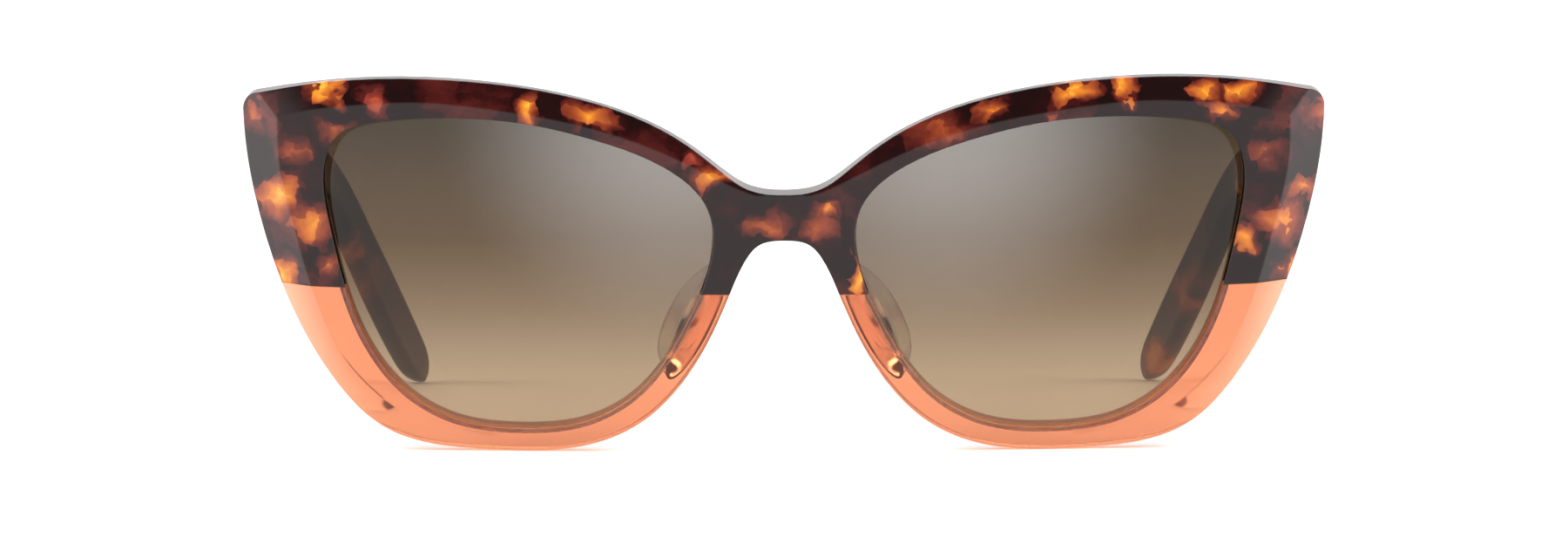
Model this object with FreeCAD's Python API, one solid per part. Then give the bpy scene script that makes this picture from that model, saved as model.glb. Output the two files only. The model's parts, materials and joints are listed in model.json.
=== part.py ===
import FreeCAD, Part
import math
import os

V = FreeCAD.Vector

# Cat eye sunglasses, open, resting on the rim bottoms and the temple tips.
# +X is the wearer's left, -Y is the way the wearer looks, +Z is up. Millimetres.

# ---- driving dimensions ----
LEAN = 7.5                  # the front leans top-forward, degrees
WRAP_R = 290.0              # radius of the spherical front face
WRAP_V = 25.0               # height of the sphere centre in the front's own plane
FRONT_T = 4.8               # acetate thickness of the front
LENS_R = 132.0              # radius of the lens's front face
LENS_CENTRE = (36.5, 24.6)  # middle of the lens in the front plane
LENS_PROUD = 0.5           # the lens's middle stands this far in front of the rim face
LENS_T = 1.9                # lens thickness
GROOVE = 0.7                # how far the lens edge sits in its groove
SPLICE_V = 22.35            # height of the seam between the two colours

BROW_ANGLE = 45.0           # slope of the brow facet
SIDE_ANGLE = 36.0           # slope of the temporal facet

HINGE_X = 68.0              # hinge axis, from the centre line
HINGE_GAP = 2.75            # hinge axis behind the rear face of the front
HINGE_Z = 40.5              # middle of the hinge
BARREL_R = 1.5
BARREL_H = 1.6              # one knuckle
BARREL_PLAY = 0.05          # axial gap between knuckles
SCREW_R = 0.7
SCREW_PLAY = 0.05           # radial clearance in the knuckles that turn on the screw
SCREW_HEAD_R = 1.05
SCREW_HEAD_H = 0.7

TEMPLE_IN = 69.7            # inner face of the temple at the hinge
TEMPLE_T = 3.8
STOP_GAP = 0.05             # temple end to the rear face of the front

# Outlines in the front's own plane (u across from the centre line, v up), one half only.
TOP_EDGE = [(72.4, 48.75), (65.0, 50.05), (57.6, 50.85), (50.3, 51.1), (43.1, 50.85), (35.9, 50.15),
            (28.7, 48.85), (21.5, 46.75), (14.3, 43.3), (9.5, 39.9), (4.8, 36.8), (0, 36.1)]
CORNER_MID = (74.05, 47.9)
LOWER_EDGE = [(74.65, 46.4), (74.5, 43.5), (73.2, 34.8), (70.9, 26.2), (67.4, 17.5), (62.1, 8.85),
              (56.2, 3.2), (49.3, 0.75), (41.5, 0.1), (36.0, 0.0), (30.6, 0.35), (24.5, 1.8),
              (18.9, 4.9), (13.4, 10.85), (9.95, 16.75), (7.4, 22.6), (5.4, 26.95), (3.45, 29.2),
              (0, 29.85)]
APERTURE = [(9.7, 30.2), (11.4, 35.8), (16.6, 40.0), (25.7, 43.5), (36.4, 45.75), (46.0, 46.2),
            (55.8, 45.4), (61.4, 43.3), (63.25, 39.0), (62.5, 30.7), (58.95, 17.8), (52.4, 8.1),
            (45.6, 4.2), (36.7, 3.1), (27.6, 4.2), (20.4, 8.3), (13.3, 18.6)]
BROW_CREASE = [(0.5, 37.0, 1.0), (3.0, 36.35, 1.0), (5.6, 36.6, 1.0), (9.4, 38.4, 1.0), (18.2, 42.5, 1.0),
               (26.0, 45.0, 1.0), (34.6, 46.75, 1.0), (49.0, 48.2, 1.0), (62.0, 47.25, 0.95),
               (66.4, 46.4, 0.78), (69.6, 45.6, 0.62), (77.0, 43.8, 0.45)]
SIDE_CREASE = [(69.7, 54.0, 1.0), (69.65, 45.6, 1.0), (69.3, 38.2, 1.0), (67.9, 32.2, 1.0), (65.1, 22.0, 1.0),
               (62.1, 14.6, 0.95), (59.3, 10.6, 0.8), (55.6, 7.0, 0.5), (51.5, 4.6, 0.2), (46.0, 3.0, 0.0),
               (40.0, 2.0, -0.1)]


def sag(u, v):
    """Depth of the front face behind its pole."""
    return WRAP_R - math.sqrt(WRAP_R ** 2 - u ** 2 - (v - WRAP_V) ** 2)


RIM_REST = sag(36.0, 0.0) * math.sin(math.radians(LEAN))    # puts the rim bottoms on the ground


def tilt(shape):
    """From the front's own plane to the leaning position."""
    out = shape.copy()
    out.rotate(V(0, 0, 0), V(1, 0, 0), LEAN)
    out.translate(V(0, 0, -RIM_REST))
    return out


def tilt_point(u, w, v):
    a = math.radians(LEAN)
    return V(u, w * math.cos(a) - v * math.sin(a), w * math.sin(a) + v * math.cos(a) - RIM_REST)


def mirror(shape):
    return shape.mirror(V(0, 0, 0), V(1, 0, 0))


def spline(points):
    """Smooth curve through points in the front plane and on through their mirror images."""
    both = points + [(-u, v) for u, v in reversed(points) if u > 0]
    curve = Part.BSplineCurve()
    curve.interpolate([V(u, 0, v) for u, v in both])
    return curve.toShape()


def ball(depth):
    """Solid ball whose surface lies the given depth behind the front face."""
    return Part.makeSphere(WRAP_R - depth, V(0, WRAP_R, WRAP_V))


def lens_ball(depth):
    """Solid ball for the lens, which is more curved than the front it sits in."""
    u, v = LENS_CENTRE
    on_front = V(u, sag(u, v), v)
    inward = (V(0, WRAP_R, WRAP_V) - on_front).normalize()
    return Part.makeSphere(LENS_R - depth, on_front + inward * (LENS_R - LENS_PROUD))


def slab(face, outer, inner):
    """The part of a face's sweep that lies inside one ball and outside another."""
    return face.extrude(V(0, 40, 0)).common(outer).cut(inner)


def outline_face():
    a, b = TOP_EDGE[0], LOWER_EDGE[0]
    corner = Part.Arc(V(a[0], 0, a[1]), V(CORNER_MID[0], 0, CORNER_MID[1]), V(b[0], 0, b[1])).toShape()
    edges = [spline(TOP_EDGE), corner, spline(LOWER_EDGE), mirror(corner)]
    return Part.Face(Part.Wire(Part.__sortEdges__(edges)))


def aperture_wire(grow=0.0):
    """Closed curve of the lens opening, or one a little outside it for the lens edge."""
    curve = Part.BSplineCurve()
    curve.interpolate([V(u, 0, v) for u, v in APERTURE], PeriodicFlag=True)
    if grow:
        first, last = curve.FirstParameter, curve.LastParameter
        points = []
        for i in range(48):
            t = first + (last - first) * i / 48
            along = curve.tangent(t)[0]
            points.append(curve.value(t) + V(-along.z, 0, along.x) * grow)
        curve = Part.BSplineCurve()
        curve.interpolate(points, PeriodicFlag=True)
    return Part.Wire(curve.toShape())


def wedge(stations, reach_in=2.0, reach_out=9.0):
    """Solid in front of a facet. Each station is a crease point, its outward direction and a slope."""
    sections = []
    for (u, v), (nu, nv), slope in stations:
        w = sag(u, v)
        k = math.tan(math.radians(slope))
        a = V(u - nu * reach_in, w - reach_in * k - 0.001, v - nv * reach_in)
        b = V(u + nu * reach_out, w + reach_out * k, v + nv * reach_out)
        c = V(u + nu * reach_out, w - reach_in * k - 6.0, v + nv * reach_out)
        d = V(u - nu * reach_in, w - reach_in * k - 6.0, v - nv * reach_in)
        sections.append(Part.makePolygon([a, b, c, d, a]))
    return Part.makeLoft(sections, True, False)


def resample(rows, count):
    """Smooth cubic through rows of numbers, read off again at evenly spaced stations."""
    steps = [0.0]
    for p, q in zip(rows, rows[1:]):
        steps.append(steps[-1] + math.dist(p[:3], q[:3]))
    last = len(rows) - 1
    rates = []
    for i in range(last + 1):
        a, b = max(i - 1, 0), min(i + 1, last)
        rates.append([(q - p) / (steps[b] - steps[a]) for p, q in zip(rows[a], rows[b])])
    out = []
    for j in range(count):
        t = steps[-1] * j / (count - 1)
        i = max(k for k in range(last) if steps[k] <= t + 1e-9)
        h = steps[i + 1] - steps[i]
        x = (t - steps[i]) / h
        weights = (1 - 3 * x ** 2 + 2 * x ** 3, h * (x - 2 * x ** 2 + x ** 3), 3 * x ** 2 - 2 * x ** 3,
                   h * (x ** 3 - x ** 2))
        slopes = ((6 * x ** 2 - 6 * x) / h, 1 - 4 * x + 3 * x ** 2, (6 * x - 6 * x ** 2) / h, 3 * x ** 2 - 2 * x)
        tracks = list(zip(rows[i], rates[i], rows[i + 1], rates[i + 1]))
        values = [sum(w * c for w, c in zip(weights, track)) for track in tracks]
        travel = [sum(w * c for w, c in zip(slopes, track)) for track in tracks[:3]]
        out.append((values, V(*travel).normalize()))
    return out


def crease_stations(points, count):
    """Crease points u, v, slope at even spacing, with the direction square to the crease."""
    rows = [(u, 0.0, v, slope) for u, v, slope in points]
    return [((r[0], r[2]), (-t.z, t.x), r[3]) for r, t in resample(rows, count)]


# ---- front: one slab, two lens openings, facets, then the colour splice ----
front = slab(outline_face(), ball(0.0), ball(FRONT_T))
brow = wedge(crease_stations([(u, v, BROW_ANGLE * k) for u, v, k in BROW_CREASE], 16))
side = wedge(crease_stations([(u, v, SIDE_ANGLE * k) for u, v, k in SIDE_CREASE], 14))
opening = Part.Face(aperture_wire())
lens_face = Part.Face(aperture_wire(GROOVE))
lens = slab(lens_face, lens_ball(0.0), lens_ball(LENS_T))
for flip in (lambda s: s, mirror):
    front = front.cut(flip(brow)).cut(flip(side))
    front = front.cut(flip(opening.extrude(V(0, 40, 0)))).cut(flip(lens))


def seam_half(upper):
    """Half space above or below the colour seam, as a box square to the front's own plane."""
    low = SPLICE_V if upper else SPLICE_V - 80.0
    return Part.makeBox(200.0, 80.0, 80.0, V(-100.0, -20.0, low))


def ellipse_wire(u, w, v, along, across, angle):
    """Ellipse in the plane w, long axis turned from the vertical by the angle."""
    a = math.radians(angle)
    long_dir = V(-math.sin(a), 0, math.cos(a))
    curve = Part.Ellipse(V(u, w, v) + long_dir * along, V(u, w, v) + V(long_dir.z, 0, -long_dir.x) * across,
                         V(u, w, v))
    return Part.Wire(curve.toShape())


def rounded_section(centre, along, height, thickness, radius):
    """Rounded rectangle across a path: thickness sideways, height in the plane of the path."""
    forward = V(*along).normalize()
    side_dir = V(0, 0, 1).cross(forward).normalize()
    up = forward.cross(side_dir)
    r = min(radius, 0.49 * thickness, 0.49 * height)
    hx, hz = thickness / 2 - r, height / 2 - r
    k = r * math.sqrt(0.5)
    edges = []
    corners = [(hx, hz, 0), (-hx, hz, 1), (-hx, -hz, 2), (hx, -hz, 3)]

    def at(x, z):
        return V(*centre) + side_dir * x + up * z

    for i, (x, z, quarter) in enumerate(corners):
        a0 = math.radians(90 * quarter)
        start = (x + r * math.cos(a0), z + r * math.sin(a0))
        mid = (x + k * (1 if quarter in (0, 3) else -1), z + k * (1 if quarter in (0, 1) else -1))
        end = (x + r * math.cos(a0 + math.pi / 2), z + r * math.sin(a0 + math.pi / 2))
        edges.append(Part.Arc(at(*start), at(*mid), at(*end)).toShape())
        nx, nz, nq = corners[(i + 1) % 4]
        a1 = math.radians(90 * nq)
        nxt = (nx + r * math.cos(a1), nz + r * math.sin(a1))
        edges.append(Part.LineSegment(at(*end), at(*nxt)).toShape())
    return Part.Wire(edges)


def swept(path, count):
    """Solid through rounded sections; each path entry is x, y, z, height, thickness, corner radius."""
    wires = [rounded_section(r[:3], t, r[3], r[4], r[5]) for r, t in resample(path, count)]
    return Part.makeLoft(wires, True, False)


def barrel(level, height, radius=BARREL_R):
    return Part.makeCylinder(radius, height, V(HINGE_X, HINGE_Y, level))


# ---- front pieces ----
upper = front.common(seam_half(True))
lower = front.common(seam_half(False))
brow_part = tilt(upper)
rims = sorted([tilt(s) for s in lower.Solids], key=lambda s: s.CenterOfMass.x)
rim = rims[-1]
lens = tilt(lens)

# ---- nose pad, bonded to the rear of the nasal rim ----
PAD_SECTIONS = [(FRONT_T - 1.2, 0.0, 9.2, 2.1), (FRONT_T + 1.6, 0.5, 8.9, 1.95), (FRONT_T + 4.2, 1.7, 7.9, 1.6),
                (FRONT_T + 6.4, 3.0, 6.2, 1.2), (FRONT_T + 7.6, 3.8, 4.2, 0.75)]
PAD_U, PAD_V, PAD_ANGLE = 11.75, 18.2, 25.0
pad_wires = []
for depth, shift, along, across in PAD_SECTIONS:
    pad_wires.append(ellipse_wire(PAD_U + shift, depth, PAD_V - 0.25 * shift, along, across, PAD_ANGLE))
pad = tilt(Part.makeLoft(pad_wires, True, False).common(ball(FRONT_T)))

# ---- hinge axis: upright, a set distance behind the rear face of the end piece ----
hinge_v = HINGE_Z / math.cos(math.radians(LEAN)) - 1.7
HINGE_Y = tilt_point(HINGE_X, sag(HINGE_X, hinge_v) + FRONT_T, hinge_v).y + HINGE_GAP
STACK = 5 * BARREL_H + 4 * BARREL_PLAY
BASE = HINGE_Z - STACK / 2
levels = [BASE + i * (BARREL_H + BARREL_PLAY) for i in range(5)]

# Front leaf: plate let into the rear face, two anchor lugs, three knuckles on arms.
plate_w = sag(HINGE_X - 0.6, hinge_v) + FRONT_T
slope = math.degrees(math.asin(HINGE_X / WRAP_R))
plate = Part.makeBox(3.9, 1.3, STACK + 1.6, V(-1.95, -1.2, -(STACK + 1.6) / 2))
for v0 in (1.4, -1.4):
    plate = plate.fuse(Part.makeBox(3.0, 2.4, 1.8, V(-1.5, -2.6, v0 - 0.9)))
plate.rotate(V(0, 0, 0), V(0, 0, 1), slope)
plate.translate(V(HINGE_X - 0.6, plate_w, hinge_v))
plate = tilt(plate)
front_leaf = plate
for i in (0, 2, 4):
    knuckle = barrel(levels[i], BARREL_H)
    arm = Part.makeBox(2 * 1.3, HINGE_GAP + 1.0, BARREL_H, V(HINGE_X - 1.3, HINGE_Y - HINGE_GAP - 1.0, levels[i]))
    front_leaf = front_leaf.fuse(knuckle).fuse(arm)

# Temple leaf: plate let into the inner face of the temple, two knuckles on arms.
temple_leaf = Part.makeBox(1.2, 10.5, STACK - 0.4, V(TEMPLE_IN - 0.05, HINGE_Y - 1.3, BASE + 0.2))
temple_leaf = temple_leaf.fuse(Part.makeBox(1.2, 3.0, 3.4, V(TEMPLE_IN + 0.7, HINGE_Y + 4.4, HINGE_Z - 1.7)))
for i in (1, 3):
    knuckle = barrel(levels[i], BARREL_H)
    arm = Part.makeBox(TEMPLE_IN + 0.4 - HINGE_X, 2 * 1.2, BARREL_H, V(HINGE_X, HINGE_Y - 1.0, levels[i]))
    temple_leaf = temple_leaf.fuse(knuckle).fuse(arm)

# Screw: free in the upper four knuckles, held by the bottom one, head let into the top one.
bore = Part.makeCylinder(SCREW_R + SCREW_PLAY, STACK, V(HINGE_X, HINGE_Y, BASE + BARREL_H))
grip = Part.makeCylinder(SCREW_R, BARREL_H, V(HINGE_X, HINGE_Y, BASE))
head_z = BASE + STACK - 0.45
seat = Part.makeCylinder(SCREW_HEAD_R + 0.05, 2.0, V(HINGE_X, HINGE_Y, head_z))
front_leaf = front_leaf.cut(bore).cut(grip).cut(seat)
temple_leaf = temple_leaf.cut(bore)
screw = Part.makeCylinder(SCREW_R, head_z - BASE + 0.1, V(HINGE_X, HINGE_Y, BASE))
head = Part.makeCylinder(SCREW_HEAD_R, SCREW_HEAD_H, V(HINGE_X, HINGE_Y, head_z))
slot = Part.makeBox(4.0, 0.36, 0.35, V(HINGE_X - 2.0, HINGE_Y - 0.18, head_z + SCREW_HEAD_H - 0.35))
screw = screw.fuse(head).cut(slot).removeSplitter()
front_leaf = front_leaf.removeSplitter()
temple_leaf = temple_leaf.removeSplitter()

# ---- temple: x, y behind the hinge, z, height, thickness, corner radius ----
MID_X = TEMPLE_IN + TEMPLE_T / 2
TEMPLE_PATH = [(MID_X, -8.0, 41.4, 11.4, TEMPLE_T, 0.9), (MID_X, 6.0, 40.5, 11.2, TEMPLE_T, 0.9),
               (MID_X, 28.0, 38.9, 10.0, TEMPLE_T, 0.9), (MID_X - 0.1, 52.0, 37.3, 8.4, TEMPLE_T, 1.0),
               (MID_X - 0.4, 74.0, 35.8, 7.2, TEMPLE_T, 1.1), (MID_X - 1.1, 88.0, 34.2, 6.7, TEMPLE_T, 1.2),
               (MID_X - 2.9, 98.0, 30.0, 6.4, TEMPLE_T, 1.3), (MID_X - 5.6, 106.2, 22.6, 6.6, TEMPLE_T, 1.4),
               (MID_X - 8.9, 114.0, 13.9, 7.0, TEMPLE_T, 1.5), (MID_X - 12.1, 121.2, 5.82, 6.6, 3.6, 1.5),
               (MID_X - 13.7, 124.4, 2.42, 4.9, 2.9, 1.3), (MID_X - 14.3, 125.9, 0.87, 2.4, 1.7, 0.7)]
temple_path = [(x, y + HINGE_Y, z, h, t, r) for x, y, z, h, t, r in TEMPLE_PATH]
temple = swept(temple_path, 22)
stop = ball(FRONT_T + STOP_GAP)
temple = temple.common(tilt(stop))

# Core wire: flat strip shot in from the front end, down to a blunt point in the ear hook.
WIRE_PATH = [(MID_X + 0.8, -8.0, 41.3, 2.6, 1.0, 0.3), (MID_X + 0.5, 28.0, 38.9, 2.5, 1.0, 0.3),
             (MID_X + 0.1, 52.0, 37.3, 2.3, 1.0, 0.3), (MID_X - 0.4, 74.0, 35.8, 2.1, 1.0, 0.3),
             (MID_X - 1.1, 88.0, 34.2, 1.9, 1.0, 0.3), (MID_X - 2.9, 98.0, 30.0, 1.8, 1.0, 0.3),
             (MID_X - 5.6, 106.2, 22.6, 1.7, 0.9, 0.3), (MID_X - 8.9, 114.0, 14.2, 1.5, 0.8, 0.25)]
wire_path = [(x, y + HINGE_Y, z, h, t, r) for x, y, z, h, t, r in WIRE_PATH]
wire_bore = swept(wire_path, 18)
wire = wire_bore.common(tilt(ball(FRONT_T + STOP_GAP + 0.4)))

temple = temple.cut(temple_leaf).cut(wire_bore)
brow_part = brow_part.cut(front_leaf).cut(mirror(front_leaf))

# ---- place the whole thing on the ground, centred, and write it ----
pairs = {"lower_rim": rim, "lens": lens, "nose_pad": pad, "hinge_front_leaf": front_leaf,
         "hinge_temple_leaf": temple_leaf, "hinge_screw": screw, "temple": temple, "core_wire": wire}
nodes = {"front_brow": brow_part}
for name, shape in pairs.items():
    nodes[name + "_left"] = shape
    nodes[name + "_right"] = mirror(shape)
low_end = rim.optimalBoundingBox(False)
far_end = temple.optimalBoundingBox(False)
near_end = brow_part.optimalBoundingBox(False)
shift = V(0, -(min(near_end.YMin, low_end.YMin) + far_end.YMax) / 2, -low_end.ZMin)
os.makedirs("parts", exist_ok=True)
for name, shape in nodes.items():
    placed = shape.Solids[0].copy()
    placed.translate(shift)
    placed.exportStep("parts/" + name + ".step")
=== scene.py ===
import json
import math

import bpy
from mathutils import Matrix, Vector

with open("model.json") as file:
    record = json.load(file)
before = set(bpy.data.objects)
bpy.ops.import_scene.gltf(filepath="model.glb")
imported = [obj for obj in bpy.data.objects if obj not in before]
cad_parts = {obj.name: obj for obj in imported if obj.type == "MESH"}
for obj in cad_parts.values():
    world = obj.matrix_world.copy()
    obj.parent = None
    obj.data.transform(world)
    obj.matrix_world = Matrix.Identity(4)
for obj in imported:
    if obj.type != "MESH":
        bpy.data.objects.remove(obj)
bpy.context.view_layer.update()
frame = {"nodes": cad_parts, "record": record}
MM = 0.001
WHITE = (1.0, 1.0, 1.0)

# ---------------------------------------------------------------- node helpers


def new_material(name):
    mat = bpy.data.materials.new(name)
    mat.use_nodes = True
    tree = mat.node_tree
    tree.nodes.clear()
    out = tree.nodes.new("ShaderNodeOutputMaterial")
    return mat, tree, out


def plug(tree, socket, value):
    """Link a socket's value, or set a plain one."""
    if isinstance(value, bpy.types.NodeSocket):
        tree.links.new(value, socket)
    else:
        socket.default_value = value


def node(tree, kind, inputs=None, **settings):
    n = tree.nodes.new(kind)
    for key, value in settings.items():
        setattr(n, key, value)
    for key, value in (inputs or {}).items():
        plug(tree, n.inputs[key], value)
    return n


def ramp(tree, fac, stops):
    n = node(tree, "ShaderNodeValToRGB", {"Fac": fac})
    elements = n.color_ramp.elements
    while len(elements) > 1:
        elements.remove(elements[-1])
    elements[0].position = stops[0][0]
    elements[0].color = (*stops[0][1], 1)
    for position, colour in stops[1:]:
        elements.new(position).color = (*colour, 1)
    return n.outputs["Color"]


def maths(tree, op, a, b=0.0, c=None, clamp=False):
    n = node(tree, "ShaderNodeMath", operation=op, use_clamp=clamp)
    values = (a, b) if c is None else (a, b, c)
    for socket, value in zip(n.inputs, values):
        plug(tree, socket, value)
    return n.outputs["Value"]


def vector_maths(tree, op, a, b):
    return node(tree, "ShaderNodeVectorMath", {0: a, 1: b}, operation=op).outputs[0]


def scaled(tree, vector, factor):
    return node(tree, "ShaderNodeVectorMath", {0: vector, "Scale": factor}, operation="SCALE").outputs[0]


def rescale(tree, value, from_min=0.0, from_max=1.0, to_min=0.0, to_max=1.0):
    return node(tree, "ShaderNodeMapRange", {
        "Value": value, "From Min": from_min, "From Max": from_max,
        "To Min": to_min, "To Max": to_max}).outputs["Result"]


def noise(tree, vector, scale, detail=3.0, roughness=0.5, distortion=0.0):
    return node(tree, "ShaderNodeTexNoise", {
        "Vector": vector, "Scale": scale, "Detail": detail,
        "Roughness": roughness, "Distortion": distortion})


def blend(tree, fac, first, second):
    """Mix two colours: the mix node's colour sockets are 6 and 7, and its colour result is 2."""
    return node(tree, "ShaderNodeMix", {0: fac, 6: first, 7: second}, data_type="RGBA").outputs[2]


def mix_shaders(tree, fac, first, second):
    return node(tree, "ShaderNodeMixShader", {0: fac, 1: first.outputs[0], 2: second.outputs[0]})


def polished_normal(tree, pos, ripple_scale, radius, samples):
    """The faint ripple of hand polishing, with soft edges."""
    ripple = noise(tree, pos, ripple_scale, 2.0).outputs["Fac"]
    bump = node(tree, "ShaderNodeBump", {"Height": ripple, "Strength": 0.05, "Distance": 0.6 * MM})
    return node(tree, "ShaderNodeBevel", {"Radius": radius, "Normal": bump.outputs["Normal"]},
                samples=samples).outputs["Normal"]


def object_position(tree):
    return node(tree, "ShaderNodeTexCoord").outputs["Object"]


# ---------------------------------------------------------------- tortoise acetate

# Patches on the front, one per row:
# x, z, half width and half height in millimetres, then strength, then amber (1) or red (0).
PATCHES = [
    (-62.6, 49.6, 3.6, 1.9, 1.00, 1.0), (-55.8, 48.4, 2.9, 3.2, 0.75, 0.1),
    (-62.5, 44.4, 3.2, 2.4, 0.45, 0.6), (-72.6, 46.2, 1.8, 3.4, 0.60, 0.4),
    (-67.0, 40.9, 4.2, 2.8, 0.50, 0.6), (-70.0, 34.6, 4.6, 3.8, 1.00, 0.9),
    (-65.2, 31.2, 4.6, 3.4, 0.85, 0.7), (-62.4, 25.6, 2.4, 2.6, 0.60, 0.6),
    (-69.0, 24.0, 2.8, 3.8, 1.00, 1.0), (-34.6, 46.7, 2.3, 2.5, 1.10, 1.0),
    (-26.6, 46.3, 4.6, 2.6, 1.00, 0.9), (-13.0, 40.2, 2.4, 2.2, 0.70, 0.1),
    (-9.6, 37.9, 3.4, 2.4, 1.00, 0.9), (-2.6, 30.9, 4.4, 2.4, 0.60, 0.6),
    (5.6, 33.4, 2.6, 1.8, 0.80, 0.8), (4.6, 30.4, 2.6, 3.2, 0.60, 0.5),
    (9.8, 23.8, 2.0, 4.0, 1.00, 1.0), (21.5, 44.4, 6.5, 2.4, 0.50, 0.4),
    (27.8, 47.0, 3.0, 1.8, 0.85, 0.9), (40.0, 49.9, 3.8, 1.8, 1.00, 1.0),
    (37.6, 47.0, 2.0, 2.8, 0.50, 0.3), (46.6, 49.6, 2.6, 2.6, 1.10, 1.0),
    (57.6, 49.7, 3.2, 2.4, 0.95, 1.0), (62.4, 49.2, 3.2, 1.9, 0.95, 1.0),
    (59.6, 46.5, 3.0, 2.6, 0.80, 0.8), (73.0, 46.6, 1.8, 2.8, 0.80, 0.3),
    (66.6, 40.6, 4.4, 2.2, 0.50, 0.5), (71.4, 35.2, 3.4, 2.4, 0.75, 0.7),
    (68.6, 31.2, 4.0, 3.4, 0.85, 0.6), (63.6, 28.0, 2.8, 2.8, 0.85, 0.9),
    (70.0, 24.8, 2.4, 3.8, 0.85, 0.9),
]
PATCH_SOFTNESS = 0.62       # below 1 a patch keeps its strength nearer to its edge
SWIRL_REACH = 7.0 * MM      # how far the smooth swirl bends the pattern
CHIP_PULL = 0.34            # how far each chip of the pattern is drawn to its middle

# Depth of colour, from the dark ground to the brightest chips.
AMBER = [(0.00, (0.010, 0.003, 0.003)), (0.16, (0.017, 0.004, 0.003)), (0.30, (0.085, 0.016, 0.006)),
         (0.46, (0.20, 0.037, 0.008)), (0.64, (0.43, 0.105, 0.011)), (0.82, (0.74, 0.25, 0.017)),
         (0.98, (0.93, 0.48, 0.045))]
RED = [(0.00, (0.010, 0.003, 0.003)), (0.18, (0.020, 0.003, 0.003)), (0.42, (0.080, 0.011, 0.009)),
       (0.80, (0.30, 0.040, 0.030))]
# painted light: the pale tone painted onto the ear hooks for the light passing through them
PAINTED_THROUGH_LIGHT_TONE = (0.33, 0.22, 0.15, 1)


def bent_positions(tree, pos):
    """A smooth swirl bends the positions, then each cell of a chip pattern pulls them to its middle."""
    swirl = noise(tree, pos, 170.0, 3.0, 0.55).outputs["Color"]
    swirl = vector_maths(tree, "SUBTRACT", swirl, (0.5, 0.5, 0.5))
    bent = vector_maths(tree, "ADD", pos, scaled(tree, swirl, SWIRL_REACH))
    chips = node(tree, "ShaderNodeTexVoronoi", {"Vector": bent, "Scale": 420.0, "Randomness": 1.0})
    pull = vector_maths(tree, "SUBTRACT", chips.outputs["Position"], bent)
    return vector_maths(tree, "ADD", bent, scaled(tree, pull, CHIP_PULL))


def patch_field(tree, bent):
    """The strongest patch at each point, and how amber it is."""
    field = hue = None
    for cx, cz, rx, rz, strength, amber in PATCHES:
        local = node(tree, "ShaderNodeMapping", {
            "Vector": bent, "Location": (cx * MM, 0, cz * MM), "Scale": (rx * MM, 1.0, rz * MM)},
            vector_type="TEXTURE")
        blob = node(tree, "ShaderNodeTexGradient", {"Vector": local.outputs[0]}, gradient_type="SPHERICAL")
        value = maths(tree, "MULTIPLY", blob.outputs["Fac"], strength)
        tone = maths(tree, "MULTIPLY", blob.outputs["Fac"], amber)
        field = value if field is None else maths(tree, "MAXIMUM", field, value)
        hue = tone if hue is None else maths(tree, "MAXIMUM", hue, tone)
    return field, hue


def tortoise():
    mat, tree, out = new_material("tortoise_acetate")
    pos = object_position(tree)
    bent = bent_positions(tree, pos)
    place = node(tree, "ShaderNodeSeparateXYZ", {0: pos})
    x = maths(tree, "ABSOLUTE", place.outputs["X"])
    y = place.outputs["Y"]
    field, hue = patch_field(tree, bent)
    # the patches belong to the front, and give way to clouds along the temples
    near = rescale(tree, y, -56 * MM, -48 * MM, 1.0, 0.0)
    far = maths(tree, "SUBTRACT", 1.0, near)
    field = maths(tree, "MULTIPLY", maths(tree, "POWER", field, PATCH_SOFTNESS), near)
    cloud = noise(tree, bent, 85.0, 2.0, 0.5, 0.3).outputs["Fac"]
    cloud = rescale(tree, cloud, 0.46, 0.70)
    # painted light: the clouds are painted brighter towards the outer end pieces, for light glowing
    # through the acetate there
    outer_painted_glow = rescale(tree, x, 56 * MM, 66 * MM, 0.42, 0.66)
    cloud = maths(tree, "MULTIPLY", cloud, maths(tree, "MULTIPLY_ADD", far, 0.30, outer_painted_glow))
    hue = maths(tree, "ADD", hue, maths(tree, "MULTIPLY", far, 0.8), clamp=True)
    fine = noise(tree, bent, 480.0, 3.0, 0.6).outputs["Fac"]
    speckle = maths(tree, "MULTIPLY", maths(tree, "SUBTRACT", fine, 0.5), 0.32)
    total = maths(tree, "ADD", maths(tree, "MAXIMUM", field, cloud), speckle)
    colour = blend(tree, hue, ramp(tree, total, RED), ramp(tree, total, AMBER))
    # painted light: the ear hooks are thinner and let more light through, so their colour is painted paler
    # towards the back
    painted_through_light = rescale(tree, y, 25 * MM, 62 * MM, 0.0, 0.32)
    soft = noise(tree, pos, 900.0, 2.0).outputs["Fac"]
    shader = node(tree, "ShaderNodeBsdfPrincipled", {
        "Base Color": blend(tree, painted_through_light, colour, PAINTED_THROUGH_LIGHT_TONE),
        "Roughness": rescale(tree, soft, to_min=0.05, to_max=0.09),
        "Normal": polished_normal(tree, pos, 90.0, 0.5 * MM, 6),
        "IOR": 1.5})
    plug(tree, out.inputs["Surface"], shader.outputs[0])
    return mat


# ---------------------------------------------------------------- clear tinted acetate


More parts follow.
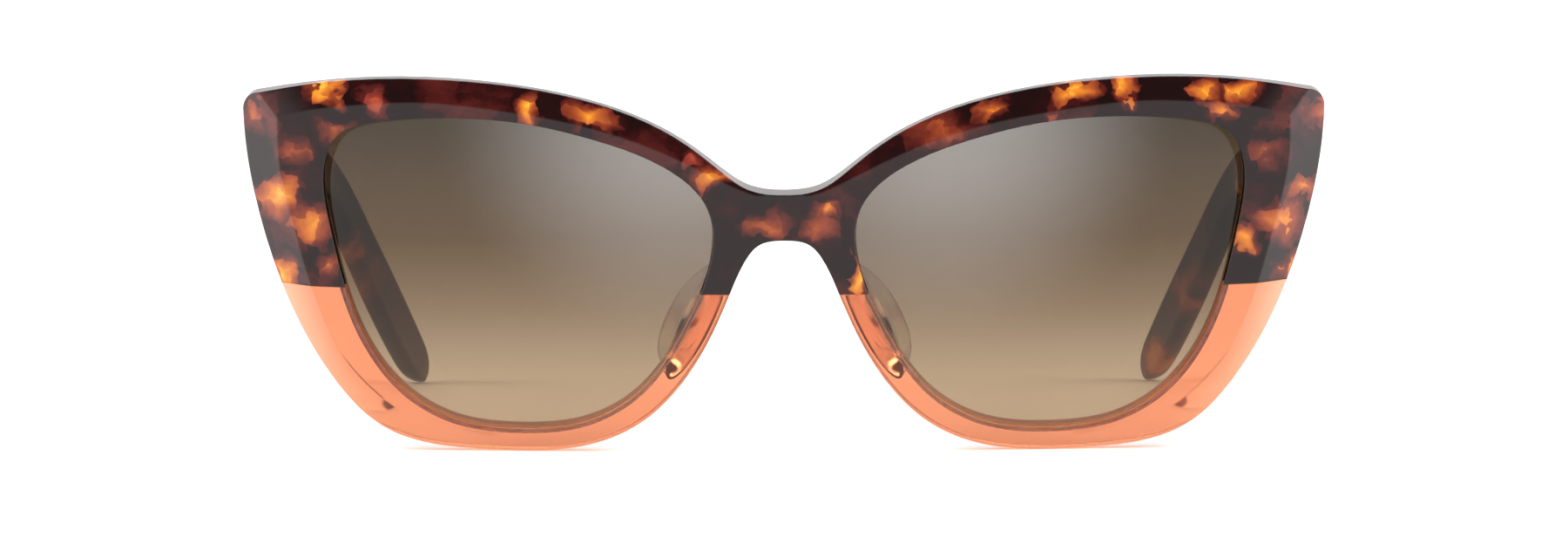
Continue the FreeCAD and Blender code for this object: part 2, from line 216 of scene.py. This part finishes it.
def clear_acetate(name, tint, density, roughness):
    mat, tree, out = new_material(name)
    pos = object_position(tree)
    swirl = noise(tree, pos, 60.0, 3.0, 0.5, 0.6).outputs["Fac"]
    shader = node(tree, "ShaderNodeBsdfPrincipled", {
        "Base Color": ramp(tree, swirl, [(0.3, (0.98, 0.90, 0.86)), (0.7, (1.0, 0.96, 0.94))]),
        "Roughness": roughness,
        "Normal": polished_normal(tree, pos, 110.0, 0.4 * MM, 4),
        "IOR": 1.49,
        "Transmission Weight": 1.0})
    # light for shadows goes straight through, coloured by the body of the acetate
    shadow = node(tree, "ShaderNodeLightPath").outputs["Is Shadow Ray"]
    straight = node(tree, "ShaderNodeBsdfTransparent", {"Color": (0.96, 0.95, 0.94, 1)})
    plug(tree, out.inputs["Surface"], mix_shaders(tree, shadow, shader, straight).outputs[0])
    soak = node(tree, "ShaderNodeVolumeAbsorption", {"Color": (*tint, 1), "Density": density})
    plug(tree, out.inputs["Volume"], soak.outputs[0])
    return mat


# ---------------------------------------------------------------- lens

# Light let through a whole lens, by height: 0 at the ground and 1 at LENS_TOP.
LENS_TOP = 50 * MM
LENS_TINT = [(0.08, (0.36, 0.250, 0.147)), (0.18, (0.33, 0.230, 0.139)), (0.28, (0.265, 0.186, 0.114)),
             (0.40, (0.182, 0.121, 0.070)), (0.59, (0.092, 0.056, 0.027)), (0.78, (0.062, 0.040, 0.022)),
             (0.94, (0.038, 0.026, 0.014))]


def lens_glass():
    mat, tree, out = new_material("gradient_lens")
    pos = object_position(tree)
    z = node(tree, "ShaderNodeSeparateXYZ", {0: pos}).outputs["Z"]
    height = rescale(tree, z, 0.0, LENS_TOP)
    mottle = noise(tree, pos, 30.0, 2.0).outputs["Fac"]
    height = maths(tree, "MULTIPLY_ADD", maths(tree, "SUBTRACT", mottle, 0.5), 0.02, height)
    # each face takes the square root, because light passes two of them
    per_face = [(at, tuple(math.sqrt(c) for c in colour)) for at, colour in LENS_TINT]
    clear = node(tree, "ShaderNodeBsdfTransparent", {"Color": ramp(tree, height, per_face)})
    gloss = node(tree, "ShaderNodeBsdfGlossy", {"Color": (*WHITE, 1), "Roughness": 0.03})
    # anti-reflection coating: a face shines on its outer side only
    fresnel = node(tree, "ShaderNodeFresnel", {"IOR": 1.5}).outputs[0]
    inside = node(tree, "ShaderNodeNewGeometry").outputs["Backfacing"]
    shine = maths(tree, "MULTIPLY", fresnel, maths(tree, "SUBTRACT", 1.0, inside))
    plug(tree, out.inputs["Surface"], mix_shaders(tree, shine, clear, gloss).outputs[0])
    return mat


# ---------------------------------------------------------------- metal


def metal(name, base, roughness, brushing):
    mat, tree, out = new_material(name)
    lines = node(tree, "ShaderNodeMapping", {"Vector": object_position(tree), "Scale": brushing})
    grain = noise(tree, lines.outputs[0], 1.0, 4.0, 0.6).outputs["Fac"]
    bump = node(tree, "ShaderNodeBump", {"Height": grain, "Strength": 0.12, "Distance": 0.08 * MM})
    shader = node(tree, "ShaderNodeBsdfPrincipled", {
        "Base Color": ramp(tree, grain, [(0.3, tuple(c * 0.86 for c in base)), (0.7, base)]),
        "Metallic": 1.0,
        "Roughness": rescale(tree, grain, to_min=roughness * 0.7, to_max=roughness * 1.3),
        "Normal": bump.outputs["Normal"]})
    plug(tree, out.inputs["Surface"], shader.outputs[0])
    return mat


SLOTS = {
    "tortoise": tortoise(),
    "peach": clear_acetate("peach_acetate", (0.865, 0.48, 0.21), 545.0, 0.04),
    "pad": clear_acetate("pad_acetate", (0.94, 0.66, 0.46), 70.0, 0.08),
    "lens": lens_glass(),
    "hinge": metal("hinge_steel", (0.72, 0.68, 0.60), 0.24, (500, 500, 3000)),
    "screw": metal("screw_steel", (0.78, 0.75, 0.70), 0.16, (2500, 2500, 400)),
    "core": metal("core_steel", (0.70, 0.69, 0.66), 0.28, (2500, 300, 2500)),
}
for part in frame["record"]["subparts"]:
    materials = frame["nodes"][part["node"]].data.materials
    materials.clear()
    materials.append(SLOTS[part["material_slot"]])

# ---------------------------------------------------------------- floor and backdrop

FLOOR_HALF_WIDTH = 4.0
FLOOR_FRONT = -3.0
WALL_Y = 1.6
WALL_TOP = 2.4
TURN_RADIUS = 0.5       # the curve between floor and wall
TURN_STEPS = 12
FLOOR_DROP = 0.05 * MM  # keeps the floor just clear of the object's lowest edge


def floor():
    mesh = bpy.data.meshes.new("floor")
    profile = [(FLOOR_FRONT, 0.0)]
    for i in range(TURN_STEPS + 1):
        angle = math.radians(90 * i / TURN_STEPS)
        profile.append((WALL_Y - TURN_RADIUS + TURN_RADIUS * math.sin(angle),
                        TURN_RADIUS - TURN_RADIUS * math.cos(angle)))
    profile.append((WALL_Y, WALL_TOP))
    verts = [(x, y, z) for y, z in profile for x in (-FLOOR_HALF_WIDTH, FLOOR_HALF_WIDTH)]
    faces = [(2 * i, 2 * i + 1, 2 * i + 3, 2 * i + 2) for i in range(len(profile) - 1)]
    mesh.from_pydata(verts, [], faces)
    for poly in mesh.polygons:
        poly.use_smooth = True
    obj = bpy.data.objects.new("floor", mesh)
    bpy.context.scene.collection.objects.link(obj)
    mat, tree, out = new_material("floor_white")
    grain = noise(tree, object_position(tree), 900.0, 2.0).outputs["Fac"]
    colour = ramp(tree, grain, [(0.0, (0.86, 0.86, 0.86)), (1.0, (0.90, 0.90, 0.90))])
    paint = node(tree, "ShaderNodeBsdfDiffuse", {"Color": colour})
    # its reverse side is clear, so the object can be viewed from any side
    reverse = node(tree, "ShaderNodeNewGeometry").outputs["Backfacing"]
    clear = node(tree, "ShaderNodeBsdfTransparent")
    plug(tree, out.inputs["Surface"], mix_shaders(tree, reverse, paint, clear).outputs[0])
    mesh.materials.append(mat)
    obj.location.z = -FLOOR_DROP
    # reflections see the white world instead, so the sheen is not cut off
    obj.visible_glossy = False


# ---------------------------------------------------------------- world

WALLS_DIM_FROM = 0.50   # the world is white up to this height of its unit sphere
WALLS_DARK_AT = 0.80
SIDE_STRENGTH = 2.3     # brighter walls to the left and right, which light the side facets


def studio_world():
    world = bpy.data.worlds.new("studio")
    bpy.context.scene.world = world
    world.use_nodes = True
    tree = world.node_tree
    tree.nodes.clear()
    direction = node(tree, "ShaderNodeTexCoord").outputs["Generated"]
    heading = node(tree, "ShaderNodeSeparateXYZ", {0: direction})
    sky = ramp(tree, heading.outputs["Z"], [
        (0.0, WHITE), (WALLS_DIM_FROM, WHITE), (WALLS_DARK_AT, (0.06, 0.06, 0.06)),
        (1.0, (0.03, 0.03, 0.03))])
    sideways = maths(tree, "ABSOLUTE", heading.outputs["X"])
    strength = rescale(tree, sideways, 0.78, 0.96, 1.0, SIDE_STRENGTH)
    background = node(tree, "ShaderNodeBackground", {"Color": sky, "Strength": strength})
    node(tree, "ShaderNodeOutputWorld", {"Surface": background.outputs[0]})


# ---------------------------------------------------------------- lights


def area(name, where, at, size, power, shape="RECTANGLE", mirrored=True):
    """An area light; one that isn't mirrored lights the object without showing as a shape in it."""
    light = bpy.data.lights.new(name, "AREA")
    light.shape = shape
    light.size, light.size_y = size
    light.energy = power
    obj = bpy.data.objects.new(name, light)
    bpy.context.scene.collection.objects.link(obj)
    obj.location = where
    obj.rotation_euler = (Vector(at) - Vector(where)).to_track_quat("-Z", "Y").to_euler()
    obj.visible_glossy = mirrored
    return obj


GLOW_SIZE = 1.9
GLOW_FADE = 0.93        # the light fades to nothing at this distance from its middle


def lens_glow():
    """A wide soft light ahead of the object that reaches the lenses only: their pale sheen."""
    glow = area("glow", (0.10, -1.5, 0.16), (0.10, 0, 0.16), (GLOW_SIZE, GLOW_SIZE), 64.0, "DISK")
    glow.visible_camera = False
    glow.data.use_nodes = True
    tree = glow.data.node_tree
    tree.nodes.clear()
    spot = node(tree, "ShaderNodeNewGeometry").outputs["Position"]
    offset = vector_maths(tree, "SUBTRACT", spot, glow.location)
    reach = node(tree, "ShaderNodeVectorMath", {0: offset}, operation="LENGTH").outputs["Value"]
    fade = node(tree, "ShaderNodeMapRange", {
        "Value": reach, "From Max": GLOW_FADE, "To Min": 1.0, "To Max": 0.0},
        interpolation_type="SMOOTHSTEP").outputs["Result"]
    emission = node(tree, "ShaderNodeEmission", {"Strength": fade})
    node(tree, "ShaderNodeOutputLight", {"Surface": emission.outputs[0]})
    lenses = bpy.data.collections.new("glow_receivers")
    for name in ("lens_left", "lens_right"):
        lenses.objects.link(frame["nodes"][name])
    glow.light_linking.receiver_collection = lenses
    glow.light_linking.blocker_collection = lenses


floor()
studio_world()
area("key", (-1.3, -0.9, 1.1), (0, 0, 0.02), (0.8, 0.8), 11.5, mirrored=False)
area("fill", (1.3, -0.9, 1.1), (0, 0, 0.02), (0.8, 0.8), 10.5, mirrored=False)
area("back", (0.0, 1.1, 1.2), (0, 0.2, 0.0), (1.8, 0.6), 20.0)
for side in (-1, 1):
    area("pool_" + str(side), (side * 0.32, -0.12, 0.34), (side * 0.17, -0.08, 0.0), (0.22, 0.3), 0.8,
         mirrored=False)
lens_glow()

# ---------------------------------------------------------------- camera

FOCAL_LENGTH = 150.84       # millimetres, on a sensor SENSOR_WIDTH wide
SENSOR_WIDTH = 36.0
CAMERA_AT = (0.00012, -0.9665, 0.0741)
CAMERA_DOWN = 3.203         # degrees below the horizon
CAMERA_ROLL = 0.0033        # radians

scene = bpy.context.scene
scene.view_settings.view_transform = "Standard"
scene.view_settings.look = "None"

cam = bpy.data.cameras.new("camera")
cam.lens = FOCAL_LENGTH
cam.sensor_width = SENSOR_WIDTH
cam.clip_start = 0.05
cam_obj = bpy.data.objects.new("camera", cam)
scene.collection.objects.link(cam_obj)
cam_obj.location = CAMERA_AT
cam_obj.rotation_euler = (math.radians(90 - CAMERA_DOWN), CAMERA_ROLL, 0.0)
scene.camera = cam_obj

bpy.context.view_layer.update()
